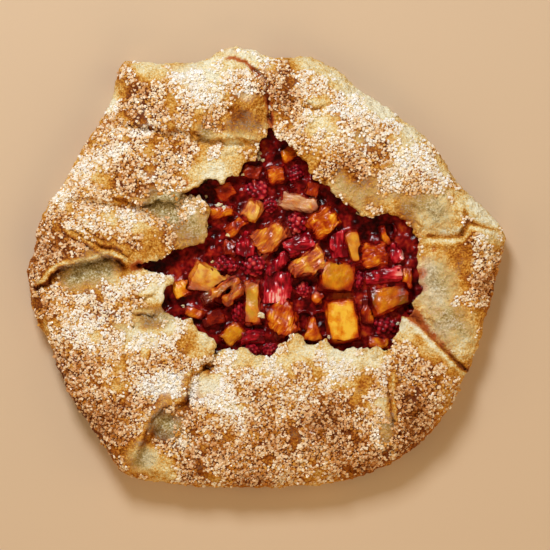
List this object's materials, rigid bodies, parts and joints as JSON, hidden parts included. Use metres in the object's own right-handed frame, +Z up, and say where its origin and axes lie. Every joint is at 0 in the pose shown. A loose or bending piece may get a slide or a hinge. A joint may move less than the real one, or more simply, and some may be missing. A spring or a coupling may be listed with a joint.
{
  "type": "fruit galette",
  "caption": "Rustic free-form galette: sugared, unevenly browned pastry folded in pleats over diced peach, rhubarb slices and raspberries in dark red juice.",
  "frame": {"origin": "middle of the bounding box, on the flat underside that the galette rests on", "axes": "+Z up out of the fruit, +X along the longer way across, towards the picture's right edge, +Y towards its top edge"},
  "size_m": [0.3, 0.2776, 0.0359],
  "materials": {
    "crust": "baked short pastry, pale cream to toffee brown, with coarse sugar",
    "juice": "set dark red fruit juice, glossy",
    "peach": "cooked peach, yellow to orange, stained red at the edges, wet",
    "rhubarb": "cooked rhubarb, crimson with pale pink cut ends, wet",
    "raspberry": "cooked raspberry, dark crimson, wet"
  },
  "bodies": {
    "root": {"crust": "crust", "juice": "juice", "peach_01": "peach", "peach_05": "peach", "peach_02": "peach", "peach_04": "peach", "peeling_01": "peach", "rhubarb_03": "rhubarb", "peach_06": "peach", "peach_14": "peach", "peach_22": "peach", "peach_08": "peach", "peach_19": "peach", "peach_21": "peach", "rhubarb_01": "rhubarb", "raspberry_02": "raspberry", "peach_03": "peach", "rhubarb_02": "rhubarb", "rhubarb_05": "rhubarb", "peach_20": "peach", "rhubarb_08": "rhubarb", "raspberry_01": "raspberry", "peach_15": "peach", "rhubarb_04": "rhubarb", "raspberry_03": "raspberry", "raspberry_05": "raspberry", "peach_07": "peach", "peach_26": "peach", "raspberry_04": "raspberry", "raspberry_12": "raspberry", "peach_13": "peach", "peach_16": "peach", "peach_30": "peach", "rhubarb_06": "rhubarb", "raspberry_06": "raspberry", "peach_12": "peach", "peach_18": "peach", "peeling_02": "peach", "rhubarb_07": "rhubarb", "raspberry_09": "raspberry", "raspberry_10": "raspberry", "raspberry_11": "raspberry", "peach_09": "peach", "peach_10": "peach", "peach_17": "peach", "peach_25": "peach", "peach_27": "peach", "peach_28": "peach", "peach_29": "peach", "raspberry_07": "raspberry", "raspberry_08": "raspberry", "peach_11": "peach", "peach_23": "peach", "peach_24": "peach"}
  },
  "joints": []
}
